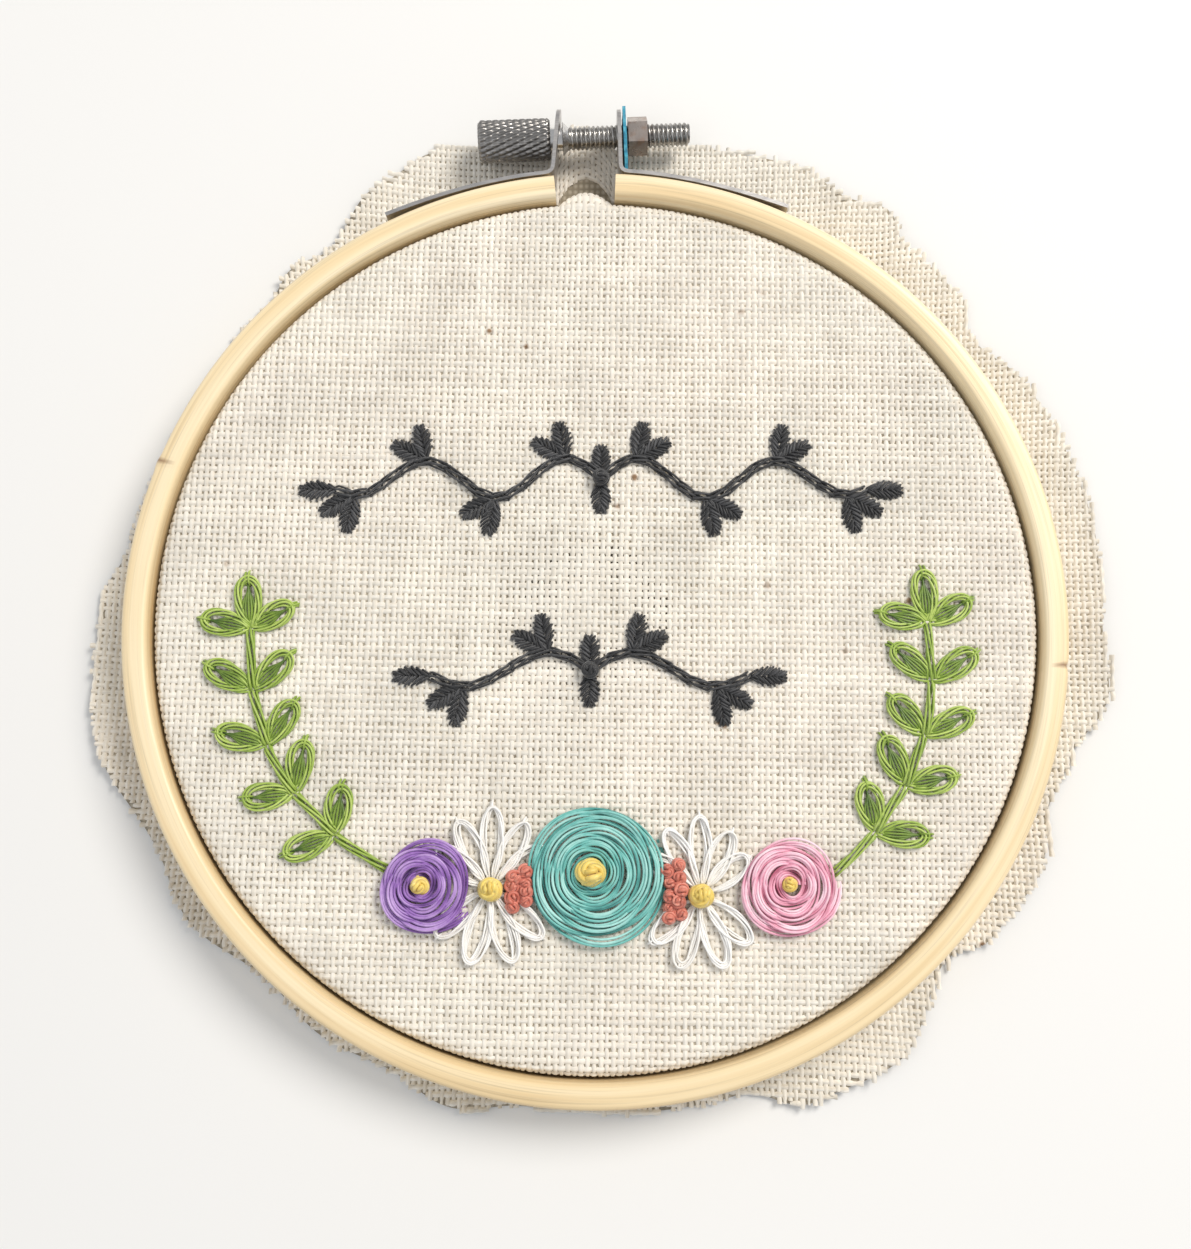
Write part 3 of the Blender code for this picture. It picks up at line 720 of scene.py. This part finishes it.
# Each floss from its gaps to its highlights
FLOSS_COLOURS = {
    "rose_teal": ((0.03, 0.20, 0.19), (0.16, 0.50, 0.45), (0.48, 0.80, 0.74)),
    "rose_purple": ((0.09, 0.03, 0.17), (0.30, 0.14, 0.46), (0.66, 0.46, 0.80)),
    "rose_pink": ((0.50, 0.13, 0.21), (0.84, 0.40, 0.52), (0.98, 0.78, 0.84)),
    "knots_yellow": ((0.50, 0.27, 0.04), (0.88, 0.66, 0.16), (0.98, 0.88, 0.42)),
    "knots_coral": ((0.30, 0.05, 0.03), (0.66, 0.20, 0.14), (0.88, 0.45, 0.34)),
    "daisies_white": ((0.62, 0.57, 0.50), (0.88, 0.85, 0.80), (0.97, 0.96, 0.94)),
    "sprigs_green": ((0.045, 0.10, 0.01), (0.27, 0.40, 0.05), (0.66, 0.78, 0.22)),
    "scrolls_black": ((0.006, 0.006, 0.007), (0.028, 0.028, 0.03), (0.11, 0.11, 0.115)),
}

# The wreath's plan, worked out from these few sizes
Flower = namedtuple("Flower", "name x y radius core knot strands eccentric")
FLOWERS = (
    Flower("rose_teal", 0.4, -40.8, 10.9, 2.0, 4.2, 4, (-1.2, 0.2)),
    Flower("rose_purple", -26.2, -42.7, 7.4, 1.6, 2.8, 4, (-1.0, 0.1)),
    Flower("rose_pink", 30.0, -42.8, 7.8, 1.9, 2.3, 4, (0.1, 0.3)),
)
Daisy = namedtuple("Daisy", "x y tall low")
DAISIES = (Daisy(-16.3, -43.1, 11.6, 10.4), Daisy(16.3, -44.1, 11.0, 10.0))
UPPER_PETALS = (-54, -27, 0, 27, 54)
LOWER_PETALS = (132, 163, 197, 228)
LOWER_NEAR = 17
LOWER_SPAN = 31
PETAL_START = 1.2 * MM
Cluster = namedtuple("Cluster", "side x y wide tall rows")
CLUSTERS = (Cluster(-1, -11.7, -43.2, 3.4, 6.0, 4), Cluster(1, 12.0, -43.6, 3.0, 9.4, 5))


def make_roses():
    for seed, flower in enumerate(FLOWERS):
        rng = np.random.default_rng(40 + seed)
        out = Strands()
        at = np.array([flower.x, flower.y]) * MM
        rose(
            out, at, flower.radius * MM, flower.core * MM, rng, flower.strands,
            eccentric=np.array(flower.eccentric) * MM,
        )
        out.piece(flower.name, floss(flower.name, *FLOSS_COLOURS[flower.name]))


def make_knots():
    yellow = Strands()
    rng = np.random.default_rng(7)
    for flower in FLOWERS:
        at = (np.array([flower.x, flower.y]) + np.array(flower.eccentric)) * MM
        french_knot(yellow, at, flower.knot * MM, rng, base=0.5 * MM, shade=0.5, strands=5)
    for daisy in DAISIES:
        french_knot(yellow, (daisy.x * MM, daisy.y * MM), 3.5 * MM, rng, base=0.4 * MM, strands=6, turns=2.8)
    yellow.piece("knots_yellow", floss("knots_yellow", *FLOSS_COLOURS["knots_yellow"]))
    coral = Strands()
    for side, x, y, wide, tall, rows in CLUSTERS:
        for row in range(rows):
            for column in range(2):
                px = x + side * 0.2 + (column - 0.5) * wide * 0.55 + rng.uniform(-0.25, 0.25)
                py = y + ((row + 0.5 * column) / (rows - 0.5) - 0.5) * tall * 0.86 + rng.uniform(-0.2, 0.2)
                lift = rng.uniform(0.1, 0.7) * MM
                french_knot(coral, (px * MM, py * MM), rng.uniform(2.0, 2.5) * MM, rng, base=lift, strands=3)
    coral.piece("knots_coral", floss("knots_coral", *FLOSS_COLOURS["knots_coral"]))


def make_daisies():
    out = Strands()
    rng = np.random.default_rng(11)
    for daisy in DAISIES:
        at = np.array([daisy.x, daisy.y]) * MM
        for heading in UPPER_PETALS:
            lean = abs(heading) / UPPER_PETALS[-1]
            root = placed(np.array([[PETAL_START, 0.0]]), at, heading)[0]
            petal(out, root, heading, (daisy.tall - 2.6 * lean) * MM, 3.3 * MM, rng)
        for heading in LOWER_PETALS:
            lean = abs(abs(heading - 180) - LOWER_NEAR) / LOWER_SPAN
            root = placed(np.array([[PETAL_START, 0.0]]), at, heading)[0]
            petal(out, root, heading, (daisy.low - 0.8 * lean) * MM, 3.4 * MM, rng)
    out.piece("daisies_white", floss("daisies_white", *FLOSS_COLOURS["daisies_white"]))


Sprig = namedtuple("Sprig", "side bottom_x bottom_y top_x top_y bow")
SPRIGS = (
    Sprig(-1, -32.5, -40.2, -55.6, -2.2, 7.0),
    Sprig(1, 37.0, -41.0, 53.4, -1.2, 6.0),
)
TOP_LEAVES = ((-78, 7.0), (-4, 7.6), (62, 7.0))


def sprig_nodes(sprig, count=5):
    """Points along a sprig's stem, from the bottom up, on a shallow arc that bows away from the middle."""
    start = np.array([sprig.bottom_x, sprig.bottom_y])
    end = np.array([sprig.top_x, sprig.top_y])
    t = np.linspace(0, 1, count + 1)[:, None]
    chord = end - start
    normal = np.array([chord[1], -chord[0]]) / np.linalg.norm(chord) * sprig.side
    return (start + chord * t + normal * sprig.bow * 4 * t * (1 - t)) * MM


def make_sprigs():
    out = Strands()
    rng = np.random.default_rng(23)
    for sprig in SPRIGS:
        nodes = sprig_nodes(sprig)
        for low, high in zip(nodes[:-1], nodes[1:]):
            straight_stitch(out, low, high, 5, 1.15 * MM, 0.55, rng, bow=rng.uniform(-0.2, 0.2) * MM)
        for index, at in enumerate(nodes[1:-1], 1):
            step = nodes[index + 1] - nodes[index - 1]
            along = degrees(np.arctan2(step[0], step[1]))
            for turn in (-1, 1):
                heading = along + turn * rng.uniform(48, 60)
                root = at + placed(np.array([[0.55 * MM, 0.0]]), (0, 0), heading)[0]
                leaf(out, root, heading, rng.uniform(6.9, 7.6) * MM, rng.uniform(3.6, 4.1) * MM, rng)
        top = nodes[-1]
        for heading, length in TOP_LEAVES:
            root = top + placed(np.array([[0.5 * MM, 0.0]]), (0, 0), heading)[0]
            leaf(out, root, heading, length * MM, 3.9 * MM, rng)
    out.piece("sprigs_green", floss("sprigs_green", *FLOSS_COLOURS["sprigs_green"]))


# Two rows of plain leafy scroll, each a mirror image of itself about its middle
Scroll = namedtuple("Scroll", "middle_x y half waves rise")
SCROLLS = (Scroll(0.9, 22.6, 46.0, 2, 3.6), Scroll(-0.9, -9.0, 27.0, 1, 3.2))


def scroll_point(scroll, side, t):
    """A place on one half of a scroll's stem, t from its middle to its end."""
    x = scroll.middle_x + side * scroll.half * t
    y = scroll.y + scroll.rise * sin(2 * pi * scroll.waves * t) * (1 - 0.25 * t)
    return np.array([x, y]) * MM


def black_stitch(out, start, end, rng, strands=5, width=1.3 * MM):
    straight_stitch(out, start, end, strands, width, 0.5, rng, height=0.42 * MM, twist=50.0)


def black_leaf(out, at, heading, length, width, rng):
    """A small satin leaf: slanted stitches from its midrib to its edge on both sides."""
    count = 6
    for side in (-1, 1):
        for k in range(count):
            t = (k + 0.35) / count
            start = placed(np.array([[length * t * 0.82, 0.0]]), at, heading)[0]
            span = width / 2 * sin(pi * min(1.0, 0.12 + t * 0.86)) ** 0.8
            end = placed(np.array([[length * (t * 0.82 + 0.22), side * span]]), at, heading)[0]
            # painted sheen: the stitches on one side of the midrib get a lighter shade than those on the
            # other
            straight_stitch(out, start, end, 3, 0.62 * MM, 0.45 + 0.12 * side, rng, height=0.35 * MM)


def make_scrolls():
    out = Strands()
    rng = np.random.default_rng(31)
    for scroll in SCROLLS:
        count = 9 * scroll.waves
        for side in (-1, 1):
            stops = [scroll_point(scroll, side, t) for t in np.linspace(0.0, 0.94, count)]
            for a, b in zip(stops[:-1], stops[1:]):
                over = (b - a) * 0.12
                black_stitch(out, a - over, b + over, rng)
            for wave in range(scroll.waves):
                for crest, way in ((0.25, 1), (0.75, -1)):
                    t = (wave + crest) / scroll.waves
                    at = scroll_point(scroll, side, t)
                    for lean in (28, 78):
                        heading = side * (90 - way * lean) if way > 0 else side * (90 + lean)
                        black_leaf(out, at, heading, 6.6 * MM, 3.0 * MM, rng)
            end = scroll_point(scroll, side, 0.94)
            black_leaf(out, end, side * 90, 6.4 * MM, 3.0 * MM, rng)
        middle = np.array([scroll.middle_x, scroll.y]) * MM
        for heading in (0, 180):
            black_leaf(out, middle, heading, 6.0 * MM, 3.0 * MM, rng)
        french_knot(out, middle, 2.6 * MM, rng, base=0.5 * MM, strands=4)
    out.piece("scrolls_black", floss("scrolls_black", *FLOSS_COLOURS["scrolls_black"], roughness=0.5))


# ---------------------------------------------------------------- the rings
RING_ROUND = 0.9 * MM
NODE_BEARING = -70.7
KINK_BEARING = 96.3


def ring_section(inner, outer, bottom, top, steps=5):
    """A rounded section as (radius, height) pairs, counted up the outer side and over the top."""
    corners = (
        (outer - RING_ROUND, bottom + RING_ROUND, -90.0),
        (outer - RING_ROUND, top - RING_ROUND, 0.0),
        (inner + RING_ROUND, top - RING_ROUND, 90.0),
        (inner + RING_ROUND, bottom + RING_ROUND, 180.0),
    )
    points = []
    for x, z, start in corners:
        for step in range(steps):
            angle = radians(start + 90.0 * step / (steps - 1))
            points.append((x + RING_ROUND * cos(angle), z + RING_ROUND * sin(angle)))
    return np.array(points)


def bump_at(bearing, place, spread):
    gap = np.mod(bearing - place + 180.0, 360.0) - 180.0
    return np.exp(-(gap / spread) ** 2)


def ring_mesh(name, section, bearings, closed):
    bearings = np.asarray(bearings, float)
    radius = section[None, :, 0] * np.ones((len(bearings), 1))
    height = section[None, :, 1] * np.ones((len(bearings), 1))
    outer = (section[:, 0] > section[:, 0].mean())[None]
    knot = bump_at(bearings, NODE_BEARING, 0.9)[:, None]
    kink = bump_at(bearings, KINK_BEARING, 0.5)[:, None]
    slow = 0.07 * MM * np.sin(np.radians(bearings * 3 + 20)) + 0.05 * MM * np.sin(np.radians(bearings * 7))
    mark = np.zeros(radius.shape)
    if not closed:
        radius = radius + np.where(outer, 0.22 * MM * knot - 0.30 * MM * kink, 0.0)
        height = height + slow[:, None] * (height > OUTER_TOP / 2)
        mark = 0.85 * bump_at(bearings, NODE_BEARING + 0.35, 0.35)[:, None] * outer
        mark = mark + 0.9 * bump_at(bearings, KINK_BEARING, 0.22)[:, None] * outer
    x = radius * np.sin(np.radians(bearings))[:, None]
    y = radius * np.cos(np.radians(bearings))[:, None]
    points = np.stack([x, y, height], axis=-1).reshape(-1, 3)
    quads = grid_faces(len(bearings), len(section), around=True, along=closed)
    caps = []
    if not closed:
        last = (len(bearings) - 1) * len(section)
        caps = [np.arange(len(section))[::-1], last + np.arange(len(section))]
    mesh = build_mesh(name, points + CENTRE, quads, caps)
    arc = np.radians(bearings)[:, None] * OUTER_RADIUS * np.ones(radius.shape)
    write_vectors(mesh, "grain", np.stack([arc, radius, height], axis=-1).reshape(-1, 3))
    write_floats(mesh, "mark", (mark * np.ones(radius.shape)).ravel())
    perimeter = np.linspace(0, 1, len(section), endpoint=False)[None] * np.ones(radius.shape)
    turn = (bearings[:, None] - bearings[0]) / 360.0 * np.ones(radius.shape)
    if not closed:
        write_map(mesh, np.stack([turn, perimeter], axis=-1).reshape(-1, 2))
    mesh.set_sharp_from_angle(angle=radians(60))
    return mesh


def make_rings():
    wood = ((0.62, 0.42, 0.19), (0.83, 0.65, 0.38), (0.93, 0.80, 0.56))
    outer_section = ring_section(OUTER_RADIUS - RING_WALL, OUTER_RADIUS, OUTER_BOTTOM, OUTER_TOP)
    bearings = np.linspace(SPLIT_RIGHT, 360 + SPLIT_LEFT, 700)
    outer = add_piece(
        "outer_hoop", ring_mesh("outer_hoop", outer_section, bearings, False),
        bamboo("outer_bamboo_look", *wood),
    )
    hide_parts("outer_ring")
    inner_section = ring_section(INNER_RADIUS - RING_WALL, INNER_RADIUS, INNER_LOW[2], INNER_TOP)
    inner = add_piece(
        "inner_hoop", ring_mesh("inner_hoop", inner_section, np.arange(0, 360, 1.0), True),
        bamboo("inner_bamboo_look", *wood),
    )
    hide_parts("inner_ring")


# ---------------------------------------------------------------- the fittings
THREAD_RADIUS = 1.95 * MM
THREAD_PITCH = 0.79 * MM
THREAD_DEPTH = 0.36 * MM
KNOB_RADIUS = 3.5 * MM
KNURL_PITCH = 1.15 * MM
KNURL_DEPTH = 0.28 * MM
KNURL_COUNT = 22
KNOB_START = -20.3 * MM
KNOB_END = -7.85 * MM
COLLAR_START = -5.75 * MM
COLLAR_END = -4.8 * MM
ROD_END = 16.4 * MM
# Heights along the screw, with radii in millimetres
COLLAR_PROFILE = (
    (KNOB_END - 0.3 * MM, 1.9),
    (COLLAR_START, 1.9),
    (COLLAR_START + 0.02 * MM, 2.7),
    (COLLAR_START + 0.12 * MM, 2.8),
    (COLLAR_START + 0.45 * MM, 2.45),
    (COLLAR_END - 0.15 * MM, 2.05),
    (COLLAR_END, 1.95),
    (COLLAR_END + 0.25 * MM, 1.7),
)


def screw_matrix():
    """Local Z along the screw, with its origin on the joint's point."""
    along = Vector(JOINT["axis"]).normalized()
    across = Vector((-along.y, along.x, 0.0))
    matrix = Matrix((across, (0.0, 0.0, 1.0), along)).transposed().to_4x4()
    matrix.translation = Vector(JOINT["pos_m"])
    return matrix


def wave_between(value):
    """0 at whole numbers and 1 half-way between them."""
    return 1 - np.abs(2 * (value - np.floor(value)) - 1)


def turned_mesh(name, heights, radii, matrix):
    """A closed body from a radius for every height and angle."""
    count = radii.shape[1]
    angle = 2 * pi * np.arange(count) / count
    x = radii * np.cos(angle)
    y = radii * np.sin(angle)
    z = np.broadcast_to(heights[:, None], radii.shape)
    points = np.stack([x, y, z], axis=-1).reshape(-1, 3)
    points = points @ np.array(matrix.to_3x3()).T + np.array(matrix.translation)
    last = (len(heights) - 1) * count
    caps = [np.arange(count)[::-1], last + np.arange(count)]
    mesh = build_mesh(name, points, grid_faces(len(heights), count, around=True), caps)
    mesh.set_sharp_from_angle(angle=radians(50))
    return mesh


def screw_piece(name, heights, radii, look):
    made = add_piece(name, turned_mesh(name, heights, radii, screw_matrix()), look, "screw")
    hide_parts("thumb_screw")


def make_screw():
    heights = np.arange(KNOB_START, KNOB_END, 0.11 * MM)
    angle = np.arange(176) / 176
    swing = heights[:, None] / (KNURL_PITCH * KNURL_COUNT) * KNURL_COUNT / 2
    right = wave_between(KNURL_COUNT * angle[None] + swing)
    left = wave_between(KNURL_COUNT * angle[None] - swing)
    groove = 1 - np.minimum(right * 1.3, 1.0) * (0.45 + 0.55 * np.minimum(left * 1.6, 1.0))
    ends = np.minimum(heights - KNOB_START, KNOB_END - heights)
    chamfer = 0.4 * MM * np.clip(1 - ends / (0.45 * MM), 0, 1)
    radii = KNOB_RADIUS - KNURL_DEPTH * groove - chamfer[:, None]
    look = steel("screw_steel_look", (0.16, 0.155, 0.15), (0.42, 0.40, 0.38), (300.0, 2200.0, 2200.0), 0.30)
    screw_piece("knurled_knob", heights, radii, look)
    heights = np.arange(COLLAR_END, ROD_END, THREAD_PITCH / 8)
    angle = np.arange(40) / 40
    flank = wave_between(heights[:, None] / THREAD_PITCH - angle[None])
    crest = np.clip(flank * 1.35, 0.0, 1.0)
    fade = np.clip((ROD_END - heights) / (0.5 * MM), 0.0, 1.0)[:, None]
    radii = THREAD_RADIUS - THREAD_DEPTH * (1 - crest) - 0.35 * MM * (1 - fade)
    look = steel("thread_steel_look", (0.22, 0.21, 0.20), (0.62, 0.60, 0.57), (900.0,) * 3, 0.24)
    screw_piece("screw_thread", heights, radii, look)
    heights = np.array([height for height, _ in COLLAR_PROFILE])
    radii = np.array([radius for _, radius in COLLAR_PROFILE])[:, None] * MM * np.ones((1, 48))
    look = steel("collar_steel_look", (0.55, 0.54, 0.53), (0.80, 0.79, 0.78), (600.0,) * 3, 0.16)
    screw_piece("screw_collar", heights, radii, look)


def bevelled_node(name, material, width, segments=2):
    """A CAD node kept as it is, with softened edges and a finish."""
    node = frame["nodes"][name]
    node.data.materials.clear()
    node.data.materials.append(material)
    bevel = node.modifiers.new("edges", "BEVEL")
    bevel.width = width
    bevel.segments = segments
    bevel.limit_method = "ANGLE"
    bevel.angle_limit = radians(40)
    bevel.harden_normals = False


def make_fittings():
    sheet = steel("bracket_steel_look", (0.36, 0.34, 0.33), (0.66, 0.64, 0.62), (260.0, 2400.0, 900.0), 0.30)
    for name in ("bracket_left", "bracket_right"):
        bevelled_node(name, sheet, 0.12 * MM)
    rivet = steel("rivet_steel_look", (0.36, 0.34, 0.33), (0.62, 0.60, 0.58), (700.0, 700.0, 700.0), 0.28)
    for name in frame["nodes"]:
        if name.startswith("rivet"):
            bevelled_node(name, rivet, 0.06 * MM)
    nut = steel(
        "nut_steel_look", (0.28, 0.24, 0.22), (0.55, 0.48, 0.43), (900.0, 300.0, 300.0), 0.26, rust=0.5,
    )
    bevelled_node("hex_nut", nut, 0.22 * MM, 3)
    bevelled_node("blue_film", torn_film("blue_film_look"), 0.05 * MM)


# ---------------------------------------------------------------- the stage
CAMERA_TILT = 8.7
CAMERA_FOCAL = 1200.0
CAMERA_DISTANCE = 192.7 * MM
LOOK_AT = (0.0, -1.6 * MM, 9.0 * MM)
IMAGE_WIDTH = 1191.0
SENSOR = 36.0
FLOOR_SIZE = 2.4
WORLD_COLOUR = (0.95, 0.97, 1.0, 1.0)
WORLD_STRENGTH = 0.55

# Each lamp points at the object's place on the floor
Lamp = namedtuple("Lamp", "name power size place colour")
LAMPS = (
    Lamp("key", 9.0, 0.5, (0.55, 0.45, 0.75), (1.0, 0.96, 0.90)),
    Lamp("fill", 2.2, 1.2, (-0.7, -0.3, 0.8), (0.93, 0.96, 1.0)),
)


def make_stage():
    bpy.ops.mesh.primitive_plane_add(size=FLOOR_SIZE, location=(0.0, 0.0, 0.0))
    floor = bpy.context.object
    floor.name = "floor"
    n = Nodes("floor_pale")
    cloud = n.noise(n.place(), 3.0, 2.0)
    n.colour(n.ramp(cloud, [(0.3, (0.80, 0.79, 0.77)), (0.7, (0.83, 0.82, 0.80))]))
    n.set(Roughness=0.9)
    floor.data.materials.append(n.material)


def make_light():
    for lamp in LAMPS:
        data = bpy.data.lights.new(lamp.name, "AREA")
        data.energy = lamp.power
        data.shape = "DISK"
        data.size = lamp.size
        data.color = lamp.colour
        made = bpy.data.objects.new(lamp.name, data)
        made.location = lamp.place
        made.rotation_euler = (-Vector(lamp.place)).to_track_quat("-Z", "Y").to_euler()
        bpy.context.scene.collection.objects.link(made)
    world = bpy.data.worlds.new("studio")
    bpy.context.scene.world = world
    world.use_nodes = True
    background = world.node_tree.nodes["Background"]
    background.inputs["Color"].default_value = WORLD_COLOUR
    background.inputs["Strength"].default_value = WORLD_STRENGTH


def make_camera():
    tilt = radians(CAMERA_TILT)
    look = Vector(LOOK_AT) + Vector(CENTRE)
    data = bpy.data.cameras.new("camera")
    data.sensor_fit = "HORIZONTAL"
    data.sensor_width = SENSOR
    data.lens = CAMERA_FOCAL / IMAGE_WIDTH * SENSOR
    data.clip_start = 0.01
    camera = bpy.data.objects.new("camera", data)
    camera.location = look + CAMERA_DISTANCE * Vector((0.0, -sin(tilt), cos(tilt)))
    camera.rotation_euler = (tilt, 0.0, 0.0)
    bpy.context.scene.collection.objects.link(camera)
    bpy.context.scene.camera = camera


def make_cloth():
    sheet = base_sheet(hole_shade_look())
    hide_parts("cloth")
    cream, deep = (0.90, 0.86, 0.78), (0.74, 0.68, 0.58)
    warp = cotton("warp_cotton", (2600.0, 260.0, 900.0), cream, deep)
    weft = cotton("weft_cotton", (260.0, 2600.0, 900.0), cream, deep)
    ways = {
        "warp": (WARP_PITCH, WEFT_PITCH, WARP_FILL, warp, False),
        "weft": (WEFT_PITCH, WARP_PITCH, WEFT_FILL, weft, True),
    }
    bands = {"face": (0.0, FACE_KEPT), "skirt": (HIDDEN_UNTIL, NO_END)}
    made = []
    for band, limits in bands.items():
        for way, values in ways.items():
            rng = np.random.default_rng(len(made) + 1)
            made.append(yarns(f"{way}_{band}", *values, *limits, rng))


make_camera()
make_stage()
make_light()
make_cloth()
make_rings()
make_screw()
make_fittings()
make_roses()
make_knots()
make_daisies()
make_sprigs()
make_scrolls()
bpy.context.scene.view_settings.view_transform = "Standard"
